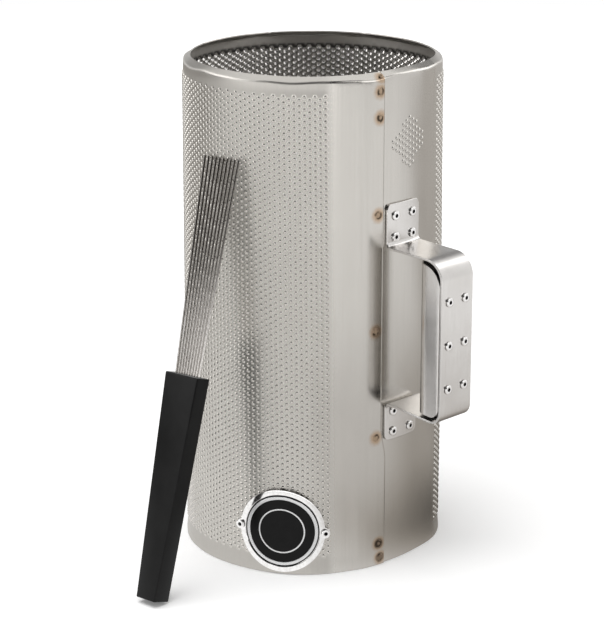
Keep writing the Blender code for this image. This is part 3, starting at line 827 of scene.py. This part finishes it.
def make_strap():
    corners = [
        (FOOT_FACE, LOWER_ARM - LOWER_FOOT_HEIGHT),
        (FOOT_FACE, LOWER_ARM),
        (HANDLE_REACH, LOWER_ARM - LOWER_ARM_DROP),
        (HANDLE_REACH, UPPER_ARM - UPPER_ARM_DROP),
        (FOOT_FACE, UPPER_ARM),
        (FOOT_FACE, UPPER_ARM + UPPER_FOOT_HEIGHT),
    ]
    radii = (FOLD_RADIUS, LOWER_BEND_RADIUS, UPPER_BEND_RADIUS, FOLD_RADIUS)
    path = finer(rounded_path(corners, radii, 12), 0.004)
    columns = 16

    def place(column, row):
        across = HANDLE_WIDTH * (column / columns - 0.5)
        reach, height = path[row]
        hug = float(np.clip(1 - (reach - FOOT_FACE) / (2 * FOLD_RADIUS), 0.0, 1.0))
        straight = AXIS + Vector((PANEL_RADIUS + reach, across, height))
        return straight.lerp(Vector(rolled([(across, height, reach)])[0]), hug)

    bm = sheet_grid(columns, len(path) - 1, place)
    corners = [vert for vert in bm.verts if len(vert.link_edges) == 2]
    round_foot_corners(bm, corners)
    strap = new_piece(
        "handle_strap_bent", bm, STRAP_FINISH, "instrument", ("handle_strap",), 50.0
    )
    thicken(strap, STRAP, STRAP_EDGE)


def round_foot_corners(bm, corners):
    """Draws the mesh in at each foot's outer corner, to a round of the corner's radius."""
    for corner in corners:
        middle = corner.co.copy()
        inward = -1 if middle.z > (UPPER_ARM + LOWER_ARM) / 2 else 1
        side = 1 if middle.y > AXIS.y else -1
        centre_y = middle.y - side * FOOT_CORNER
        centre_z = middle.z + inward * FOOT_CORNER
        for vert in bm.verts:
            dy = (vert.co.y - centre_y) * side
            dz = (centre_z - vert.co.z) * inward
            if dy > 0 and dz > 0 and abs(vert.co.x - middle.x) < 0.01:
                reach = math.hypot(dy, dz)
                square = reach / max(dy, dz)
                vert.co.y = centre_y + side * dy / square
                vert.co.z = centre_z - inward * dz / square


def make_liner():
    half = HANDLE_WIDTH / 2
    edge = LINER_EDGE_RADIUS
    back_start = LINER_DEPTH - LINER_BACK_DEPTH
    side = [(0.0, LINER_SLOT / 2), (0.0, LINER_SLOT)]
    for step in range(9):
        turn = math.pi / 2 * step / 8
        side.append((edge * (1 - math.cos(turn)), half - edge * (1 - math.sin(turn))))
    for share in (0.2, 0.4, 0.6, 0.8):
        side.append((edge + (back_start - edge) * share, half))
    for step in range(17):
        turn = math.pi / 2 * step / 16
        side.append((back_start + LINER_BACK_DEPTH * math.sin(turn), half * math.cos(turn)))
    section = side + [(depth, -across) for depth, across in reversed(side[:-1])]
    rows = 12

    def end_cut(corner, depth):
        short = max(corner - depth, 0.0)
        return STRAP + LINER_END_GAP + corner - math.sqrt(corner**2 - short**2)

    def place(column, row):
        depth, across = section[column]
        reach = GRIP_INSIDE - LINER_SLIT - depth
        along_arm = (reach - FOOT_FACE) / (HANDLE_REACH - FOOT_FACE)
        low = LOWER_ARM - LOWER_ARM_DROP * along_arm + end_cut(LINER_LOWER_CORNER, depth)
        high = UPPER_ARM - UPPER_ARM_DROP * along_arm - end_cut(LINER_UPPER_CORNER, depth)
        return AXIS + Vector((PANEL_RADIUS + reach, across, low + (high - low) * row / rows))

    bm = sheet_grid(len(section) - 1, rows, place)
    liner = new_piece(
        "grip_liner_channel", bm, STRAP_FINISH, "instrument", ("grip_liner",), 50.0
    )
    thicken(liner, LINER_SHEET, LINER_EDGE)


# Rivets


def make_rivet(node, place, grip):
    """A set blind rivet: domed head with its open bore, shank and swelled tail."""
    bore, head = RIVET_BORE / 2, RIVET_HEAD / 2
    tail, shank = RIVET_TAIL / 2, RIVET_SHANK / 2
    crown = RIVET_HEAD_HEIGHT
    end = -grip - RIVET_TAIL_LENGTH
    profile = [
        (bore, crown - BORE_LIP),
        (bore + 0.00012, crown - 0.00006),
        (bore + 0.00030, crown),
        *((bore + out * (head - bore), up * crown) for out, up in RIVET_CROWN),
        (head, 0.10 * crown),
        (head - 0.00006, 0.0),
        (shank, 0.0),
        (shank, -grip),
        (tail, -grip - 0.15 * RIVET_TAIL_LENGTH),
        (tail, -grip - 0.75 * RIVET_TAIL_LENGTH),
        (0.5 * (tail + bore), end),
        (bore, end),
    ]
    bm = turned(profile, 28, True)
    # The bore's faces take the near-black finish, as painted shade in the hole.
    for face in bm.faces:
        in_bore = all(vert.co.xy.length < bore + BORE_LIP for vert in face.verts)
        face.material_index = 1 if in_bore else 0
    bmesh.ops.transform(bm, matrix=place, verts=bm.verts)
    rivet = new_piece(f"{node}_set", bm, RIVET_FINISH, "instrument", (node,), 40.0)
    rivet.data.materials.append(STEM_AND_BORE_SHADE_FINISH)
    # The stem down in the bore takes it too, as painted shade.
    frame["nodes"][f"{node}_stem"].data.materials.clear()
    frame["nodes"][f"{node}_stem"].data.materials.append(STEM_AND_BORE_SHADE_FINISH)


def facing(location, outward):
    return Matrix.Translation(location) @ outward.to_track_quat("Z", "Y").to_matrix().to_4x4()


def over_barrel(arc, height, lift):
    """A frame on the barrel, its Z along the outward normal."""
    here, out = rolled([(arc, height, lift), (arc, height, lift + 1.0)])
    return facing(Vector(here), Vector(out) - Vector(here))


def make_rivets():
    foot_grip = STRAP + SHEET + 3 * SEAT_GAP
    feet = {"upper": UPPER_ARM + FOOT_RIVETS_FROM_FOLD, "lower": LOWER_ARM - FOOT_RIVETS_FROM_FOLD}
    rows = (("top", FOOT_RIVET_ROWS / 2), ("bottom", -FOOT_RIVET_ROWS / 2))
    columns = (("left", -0.5), ("right", 0.5))
    for foot, middle in feet.items():
        for row, up in rows:
            for column, side in columns:
                place = over_barrel(FOOT_RIVET_COLUMNS * side, middle + up, FOOT_FACE + SEAT_GAP)
                make_rivet(f"{foot}_foot_rivet_{row}_{column}", place, foot_grip)
    grip = STRAP + LINER_SHEET + 3 * SEAT_GAP
    for row, height in GRIP_RIVET_HEIGHTS:
        for column, side in columns:
            reach = PANEL_RADIUS + HANDLE_REACH + SEAT_GAP
            head = AXIS + Vector((reach, GRIP_RIVET_COLUMNS * side, height))
            place = facing(head, Vector((1, 0, 0)))
            make_rivet(f"grip_rivet_{row}_{column}", place, grip)
    badge_grip = BADGE_THICKNESS + DOME_HEIGHT + SHEET + 3 * SEAT_GAP
    for column, side in columns:
        along = 2 * BADGE_RADIUS * side
        place = over_barrel(*on_badge(along, 0.0, BADGE_THICKNESS + SEAT_GAP))
        make_rivet(f"badge_rivet_{column}", place, badge_grip)


# Badge


def on_badge(along, up, lift):
    """A point of the badge, curved to the barrel and turned by the badge's tilt."""
    tilt = math.radians(BADGE_TILT)
    arc = arc_at(BADGE_ANGLE) + along * math.cos(tilt) - up * math.sin(tilt)
    height = BADGE_HEIGHT + along * math.sin(tilt) + up * math.cos(tilt)
    return arc, height, SEAT_GAP + lift


def curve_to_barrel(bm):
    move_verts(bm, rolled([on_badge(*vert.co) for vert in bm.verts]))


def ear_radius(turn, radius):
    """The badge's outline: its round, or an ear's round where that reaches further."""
    off = radius * abs(math.sin(turn))
    if off >= BADGE_EAR_RADIUS:
        return radius
    reach = radius * abs(math.cos(turn)) + math.sqrt(BADGE_EAR_RADIUS**2 - off**2)
    return max(reach, radius)


def ring_run(start, end, height, step=0.003):
    """Profile points along a flat, close enough together to follow the barrel's curve."""
    steps = max(math.ceil(abs(end - start) / step), 1)
    return [(start + (end - start) * part / steps, height) for part in range(steps + 1)]


def make_badge():
    recess = BADGE_RADIUS - BADGE_RIM
    top = BADGE_THICKNESS
    profile = ring_run(0.0, BADGE_RADIUS - 0.0002, 0.0)
    profile += [
        (BADGE_RADIUS, 0.0003),
        (BADGE_RADIUS, top - 0.0003),
        (BADGE_RADIUS - 0.0001, top - 0.00008),
        (BADGE_RADIUS - 0.0003, top),
        (recess + 0.0002, top),
        (recess, top - 0.0002),
        (recess, BADGE_FLOOR),
    ]
    profile += ring_run(recess, 0.0, BADGE_FLOOR)[1:]
    bm = turned(profile, 180)
    for vert in bm.verts:
        radius = vert.co.xy.length
        if radius > recess + 0.0012:
            turn = math.atan2(vert.co.y, vert.co.x)
            share = (radius - recess) / BADGE_RIM
            vert.co.xy *= 1 + (ear_radius(turn, BADGE_RADIUS) / BADGE_RADIUS - 1) * share
    curve_to_barrel(bm)
    new_piece(
        "badge_plate_pressed", bm, CHROME_FINISH, "instrument", ("badge_plate",), 40.0
    )

    silver_out = recess - SILVER_RING_INSET
    silver_in = silver_out - SILVER_RING_WIDTH
    base = BADGE_FLOOR + 0.0002
    profile = [
        (silver_out, top - 0.0005),
        (silver_out, top - 0.0003),
        (silver_out - 0.0002, top - 0.0001),
        (silver_in + 0.0002, top - 0.0001),
        (silver_in, top - 0.0003),
        (silver_in, top - 0.0005),
    ]
    bm = turned(profile, 120, True)
    curve_to_barrel(bm)
    new_piece("badge_silver_ring", bm, HATCH_FINISH, "instrument")

    inlay = recess - 0.0002
    profile = ring_run(0.0, inlay, base)
    profile += [(inlay, top - 0.0006), (inlay - 0.0003, top - 0.00035)]
    profile += ring_run(inlay - 0.0003, 0.0, top - 0.00035)[1:]
    bm = turned(profile, 120)
    curve_to_barrel(bm)
    disc = ("badge_enamel_disc",)
    new_piece("badge_enamel_inlay", bm, ENAMEL_FINISH, "instrument", disc, 40.0)

    inner, outer = INNER_RING_RADIUS, INNER_RING_RADIUS + INNER_RING_WIDTH
    low, high = top - 0.0005, top - 0.00025
    profile = [(outer, low), (outer, high), (inner, high), (inner, low)]
    bm = turned(profile, 96, True)
    curve_to_barrel(bm)
    new_piece("badge_inner_ring", bm, HATCH_FINISH, "instrument")


# Scraper


def scraper_place():
    """The scraper's frame, from its hinge: X across the row of wires, Z along them."""
    hinge = next(joint for joint in frame["joints"] if joint["name"] == "tine_flex")
    turn = Matrix.Rotation(math.radians(SCRAPER_SIDE_LEAN), 4, "Y")
    turn = turn @ Matrix.Rotation(math.radians(-SCRAPER_LEAN), 4, "X")
    to_hinge = Vector((0, 0, SCRAPER_HANDLE_LENGTH - TINE_SLOT_DEPTH / 2))
    return Matrix.Translation(Vector(hinge["pos_m"]) - turn @ to_hinge) @ turn


def make_scraper():
    place = scraper_place()
    bm = bmesh.new()
    bmesh.ops.create_cube(bm, size=1.0)
    for vert in bm.verts:
        at_mouth = vert.co.z > 0
        width, thickness = SCRAPER_MOUTH if at_mouth else SCRAPER_BUTT
        height = SCRAPER_HANDLE_LENGTH if at_mouth else BUTT_CLEARANCE
        vert.co = (vert.co.x * width, vert.co.y * thickness, height)
    slot_half = (TINE_MOUTH_SPREAD + TINE_DIAMETER) / 2 + SLOT_CLEARANCE
    slot_thick = TINE_DIAMETER / 2 + SLOT_CLEARANCE
    bmesh.ops.bevel(
        bm, geom=bm.edges[:], offset=SCRAPER_EDGE, affect="EDGES", segments=3, profile=0.5, material=-1
    )
    mouth = max(bm.faces, key=lambda face: face.calc_center_median().z + face.calc_area())
    ring = bmesh.ops.inset_region(bm, faces=[mouth], thickness=MOUTH_EDGE, depth=0.0)["faces"]
    # The ring round the mouth is painted light grey, a painted sheen.
    for face in ring:
        face.material_index = 1
    for vert in mouth.verts:
        vert.co.x = math.copysign(slot_half, vert.co.x)
        vert.co.y = math.copysign(slot_thick, vert.co.y)
    made = bmesh.ops.extrude_discrete_faces(bm, faces=[mouth])["faces"]
    bmesh.ops.translate(bm, verts=made[0].verts, vec=(0, 0, -TINE_SLOT_DEPTH))
    bmesh.ops.recalc_face_normals(bm, faces=bm.faces)
    bmesh.ops.transform(bm, matrix=place, verts=bm.verts)
    bar = new_piece(
        "scraper_handle_bar", bm, PLASTIC_FINISH, "scraper", ("scraper_handle",), 40.0
    )
    # Second slot: the mouth ring's painted sheen.
    bar.data.materials.append(MOUTH_SHEEN_FINISH)

    for number in range(TINE_COUNT):
        share = number / (TINE_COUNT - 1) - 0.5
        node = f"tine_{number + 1:02d}"
        mouth_x, tip_x = TINE_MOUTH_SPREAD * share, TINE_TIP_SPREAD * share
        lean = (tip_x - mouth_x) / TINE_FREE_LENGTH
        root_z = SCRAPER_HANDLE_LENGTH - TINE_SLOT_DEPTH + SEAT_GAP
        start = Vector((mouth_x + lean * (root_z - SCRAPER_HANDLE_LENGTH), 0, root_z))
        end = Vector((tip_x, 0, SCRAPER_HANDLE_LENGTH + TINE_FREE_LENGTH))
        radius, length = TINE_DIAMETER / 2, (end - start).length
        profile = [(0.0, 0.0), (radius, 0.0), (radius, length * 0.33), (radius, length * 0.66)]
        profile += [(radius, length - 0.00025), (radius - 0.0002, length - 0.00003), (0.0, length)]
        bm = turned(profile, 16)
        bmesh.ops.transform(bm, matrix=place @ facing(start, end - start), verts=bm.verts)
        new_piece(f"{node}_wire", bm, WIRE_FINISH, "tine_row", (node,), 40.0)


# Studio


def glow_finish(name, strength):
    """A card's even light, or one that a function of the coordinates gives."""
    material, where = start_finish(name)
    level, colour = strength, grey(1.0)
    if callable(strength):
        level = strength(where)
        colour = level.between(0.25, 1.0).blend((1.0, 0.93, 0.85, 1.0), grey(1.0))
    glow = where.node("ShaderNodeEmission", {}, {"Color": colour, "Strength": level})
    where.node("ShaderNodeOutputMaterial", {}, {"Surface": glow})
    return material


def show_card(name, bm, strength):
    """A studio card that shows in the metal's reflections only."""
    mesh = bpy.data.meshes.new(name)
    bm.to_mesh(mesh)
    bm.free()
    mesh.materials.append(glow_finish(f"{name}_glow", strength))
    card = bpy.data.objects.new(name, mesh)
    bpy.context.scene.collection.objects.link(card)
    card.visible_camera = False
    card.visible_diffuse = False
    card.visible_shadow = False
    card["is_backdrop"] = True


def add_card(name, middle, aim, width, height, strength):
    bm = bmesh.new()
    bmesh.ops.create_grid(bm, x_segments=1, y_segments=1, size=0.5)
    bmesh.ops.scale(bm, verts=bm.verts, vec=(width, height, 1.0))
    towards = (Vector(aim) - Vector(middle)).to_track_quat("Z", "Y").to_matrix().to_4x4()
    bmesh.ops.transform(bm, matrix=Matrix.Translation(middle) @ towards, verts=bm.verts)
    show_card(name, bm, strength)


VIEW_TURN = math.radians(VIEW_ANGLE)
AHEAD = Vector((-math.cos(VIEW_TURN), -math.sin(VIEW_TURN), 0.0))
ASIDE = Vector((-math.sin(VIEW_TURN), math.cos(VIEW_TURN), 0.0))


def from_view(right, away, up):
    """A place as the camera sees it: to the right, away from it and up, from the barrel's foot."""
    return AXIS + ASIDE * right + AHEAD * away + Vector((0, 0, up))


def along_view(where, direction):
    """Distance from the barrel's axis along a level direction."""
    inputs = {0: where, 1: tuple(direction)}
    reach = where.node("ShaderNodeVectorMath", {"operation": "DOT_PRODUCT"}, inputs, 1)
    return reach - AXIS.dot(direction)


def add_board(name, rights, aways, strength):
    """A glowing board laid on the floor out of sight, given as the camera sees it: it paints the floor's light and
    shade as the metal reflects it.
    """
    bm = bmesh.new()
    bmesh.ops.create_grid(bm, x_segments=1, y_segments=1, size=1.0)
    for vert in bm.verts:
        vert.co = from_view(rights[vert.co.x > 0], aways[vert.co.y > 0], 0.0002)
    show_card(name, bm, strength)


def right_shade(where):
    """Full light in front of the barrel, falling off beside and behind it and close to its foot."""
    right, away = along_view(where, ASIDE), along_view(where, AHEAD)
    reach = (right * right + away * away) ** 0.5
    close, near = reach.between(0.12, 0.27), reach.between(0.38, 0.70)
    far = reach.between(0.40, 0.90)
    in_front = 1.0 - away.between(-0.12, 0.02)
    beside = (0.17 + close * 0.36 + near * 0.50) * (1.0 - away.between(0.05, 0.30) * 0.42)
    before = 0.52 + close * 0.30 + near * 0.08 + far * 0.24
    level = beside * (1.0 - in_front) + before * in_front
    return 1.0 - right.between(0.0, 0.12) * (1.0 - level)


def left_shade(where):
    """Even light in front, a little less further out, falling off behind to the left."""
    right, away = along_view(where, ASIDE), along_view(where, AHEAD)
    reach = (right * right + away * away) ** 0.5
    behind = away.between(0.0, 0.5) * (0.0 - right).between(0.15, 0.5)
    return (1.10 - reach.between(0.30, 0.95) * 0.24) * (1.0 - behind * 0.66)


def add_dark_inside():
    """The floor within the barrel, which no lamp reaches: a dim card that paints its shade in reflections."""
    bm = bmesh.new()
    bmesh.ops.create_circle(bm, cap_ends=True, segments=48, radius=PANEL_RADIUS - 0.003)
    bmesh.ops.translate(bm, verts=bm.verts, vec=AXIS + Vector((0, 0, 0.0003)))
    show_card("dark_inside", bm, 0.22)


def make_floor():
    bm = bmesh.new()
    bmesh.ops.create_circle(bm, cap_ends=True, segments=96, radius=2.3)
    mesh = bpy.data.meshes.new("floor")
    bm.to_mesh(mesh)
    bm.free()
    material, where = start_finish("floor_white")
    paper = where.node("ShaderNodeBsdfDiffuse", {}, {"Color": grey(0.80)})
    clear = where.node("ShaderNodeAmbientOcclusion", {"samples": 8}, {"Distance": 0.09}, 1)
    right, away = along_view(where, ASIDE), along_view(where, AHEAD)
    far = (right * right + away * away).between(0.08, 1.2)
    # The glow dims near the object through ambient occlusion, a painted contact shadow, and rises further out to
    # keep the far floor white.
    level = seen_directly(where) * (0.12 + 0.38 * clear + far * 0.3)
    glow = where.node("ShaderNodeEmission", {}, {"Color": grey(1.0), "Strength": level})
    both = where.node("ShaderNodeAddShader", {}, {0: paper, 1: glow})
    where.node("ShaderNodeOutputMaterial", {}, {"Surface": both})
    mesh.materials.append(material)
    floor = bpy.data.objects.new("floor", mesh)
    floor.location.z = -0.0003
    bpy.context.scene.collection.objects.link(floor)
    floor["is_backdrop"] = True


def seen_directly(tap):
    """1 for what the camera sees, straight or in metal or glass, and 0 for light on the object."""
    path = tap.node("ShaderNodeLightPath", {}, {}).socket.node.outputs
    rays = [Tap(tap.tree, path[f"Is {kind} Ray"]) for kind in ("Camera", "Glossy", "Transmission")]
    return (rays[0] + rays[1] + rays[2]).least(1.0)


def make_world():
    world = bpy.data.worlds.new("studio")
    world.use_nodes = True
    tree = world.node_tree
    tree.nodes.clear()
    start = Tap(tree, tree.nodes.new("ShaderNodeTexCoord").outputs["Generated"])
    colour = seen_directly(start).blend(grey(0.25, 0.01), grey(1.0))
    sky = start.node("ShaderNodeBackground", {}, {"Color": colour, "Strength": 1.0})
    start.node("ShaderNodeOutputWorld", {}, {"Surface": sky})
    bpy.context.scene.world = world


def add_lamp(name, place, aim, size, power):
    data = bpy.data.lights.new(name, "AREA")
    data.shape = "DISK"
    data.size = size
    data.energy = power
    lamp = bpy.data.objects.new(name, data)
    lamp.location = place
    lamp.rotation_mode = "QUATERNION"
    lamp.rotation_quaternion = (Vector(aim) - Vector(place)).to_track_quat("-Z", "Y")
    lamp.visible_glossy = False
    bpy.context.scene.collection.objects.link(lamp)


def make_studio():
    make_floor()
    make_world()
    middle = from_view(0, 0, 0.17)
    add_lamp("top_soft_lamp", from_view(-0.7, -0.5, 3.2), middle, 3.0, 84.0)
    add_card("top_box", from_view(-0.1, 0.45, 1.7), from_view(-0.1, 0.45, 0), 2.0, 2.2, 1.15)
    add_card("left_box", from_view(-1.4, -0.1, 0.95), middle, 1.2, 0.95, 2.6)
    add_card("right_box", from_view(1.386, 0.80, 1.17), from_view(0, 0, 1.17), 0.8, 1.38, 2.2)
    add_card("right_wall", from_view(1.6, -0.1, 0.75), from_view(0, -0.1, 0.75), 1.5, 1.5, 0.95)
    add_card("left_low_box", from_view(-1.5, -1.1, 0.31), from_view(0, 0, 0.31), 1.6, 0.6, 1.6)
    add_card("right_high_box", from_view(1.3, -0.75, 0.95), middle, 0.9, 0.95, 2.0)
    add_card("back_flag", from_view(0.0, 2.2, 1.65), from_view(0, 0, 1.65), 5.0, 1.55, 0.3)
    add_card("front_flag", from_view(0.0, -2.4, 1.3), from_view(0, 0, 1.3), 5.0, 2.6, 0.035)
    add_card("left_flag", from_view(-2.4, -0.6, 1.3), from_view(0, -0.6, 1.3), 3.6, 2.6, 0.12)
    add_card("right_flag", from_view(2.4, -0.6, 1.3), from_view(0, -0.6, 1.3), 3.6, 2.6, 0.12)
    add_card("upper_flag", from_view(0.0, -1.6, 2.3), from_view(0, 0, 0.2), 4.8, 2.0, 0.035)
    add_card("front_low_box", from_view(0.0, -1.9, 0.16), from_view(0, 0, 0.16), 2.4, 0.30, 2.0)
    add_board("right_board", (0.0, 2.4), (-1.2, 2.2), right_shade)
    add_board("left_board", (-2.4, 0.0), (-1.2, 2.2), left_shade)
    add_dark_inside()


def make_camera():
    elevation = math.radians(VIEW_ELEVATION)
    back = (from_view(0, -1, 0) - AXIS) * math.cos(elevation) + Vector((0, 0, math.sin(elevation)))
    right = from_view(1, 0, 0) - AXIS
    up = back.cross(right)
    across = right * math.cos(VIEW_ROLL) + up * math.sin(VIEW_ROLL)
    above = up * math.cos(VIEW_ROLL) - right * math.sin(VIEW_ROLL)
    turn = Matrix((across, above, back)).transposed().to_4x4()
    data = bpy.data.cameras.new("photo_camera")
    data.sensor_width = 36.0
    data.lens = VIEW_FOCAL_PIXELS * data.sensor_width / IMAGE_HEIGHT
    data.shift_x = (IMAGE_WIDTH / 2 - VIEW_CENTRE_PIXELS[0]) / IMAGE_HEIGHT
    data.shift_y = (VIEW_CENTRE_PIXELS[1] - IMAGE_HEIGHT / 2) / IMAGE_HEIGHT
    data.clip_end = 50.0
    camera = bpy.data.objects.new("photo_camera", data)
    aim = AXIS + Vector((0, 0, BARREL_HEIGHT / 2))
    camera.matrix_world = Matrix.Translation(aim + back * VIEW_DISTANCE) @ turn
    bpy.context.scene.collection.objects.link(camera)
    bpy.context.scene.camera = camera


make_barrel()
make_welds()
make_strap()
make_liner()
make_rivets()
make_badge()
make_scraper()
make_studio()
make_camera()
bpy.context.scene.view_settings.view_transform = "Standard"

boxes = {"cad": CAD_BOX, "visual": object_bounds()}
{name: [list(corner) for corner in box] for name, box in boxes.items()}
